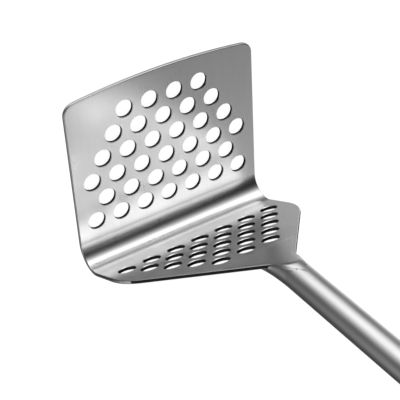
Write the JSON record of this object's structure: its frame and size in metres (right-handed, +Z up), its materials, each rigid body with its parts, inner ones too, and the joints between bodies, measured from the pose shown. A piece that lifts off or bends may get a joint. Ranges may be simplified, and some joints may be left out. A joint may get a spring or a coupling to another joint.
{
  "type": "potato masher",
  "caption": "Steel potato masher: a perforated sheet folded into a flat mashing plate and a sloping bracket, on a tube stem with a round grip and a swinging wire hanging loop.",
  "frame": {"origin": "on the stem's axis, on the flat underside of the mashing plate, which is the face it stands and presses on", "axes": "+Z up the stem towards the grip; +Y from the stem's axis towards the plate's bowed free edge; X across the plate, the plane X = 0 being the mirror plane"},
  "size_m": [0.093, 0.0831, 0.2906],
  "materials": {
    "satin_sheet": "satin brushed stainless sheet with polished edges",
    "polished_weld": "ground and polished stainless weld",
    "satin_tube": "satin stainless tube, brushed along its length",
    "satin_cap": "turned satin stainless",
    "bright_wire": "bright drawn stainless wire",
    "plain_steel": "plain machined stainless, hidden inside the grip"
  },
  "bodies": {
    "masher": {"masher_blade": "satin_sheet", "neck_weld": "polished_weld", "stem_tube": "satin_tube", "ferrule_weld": "polished_weld", "grip_ferrule": "satin_cap", "grip_seam_weld": "polished_weld", "grip_tube": "satin_tube", "centring_bush": "plain_steel", "end_cap": "satin_cap", "cap_seam_weld": "polished_weld"},
    "loop": {"hanging_loop": "bright_wire"}
  },
  "joints": [
    {"name": "loop_swing", "type": "hinge", "parent": "masher", "child": "loop", "pos_m": [0, 0, 0.2844], "axis": [-1, 0, 0], "range_deg": [0, 324.6]}
  ]
}
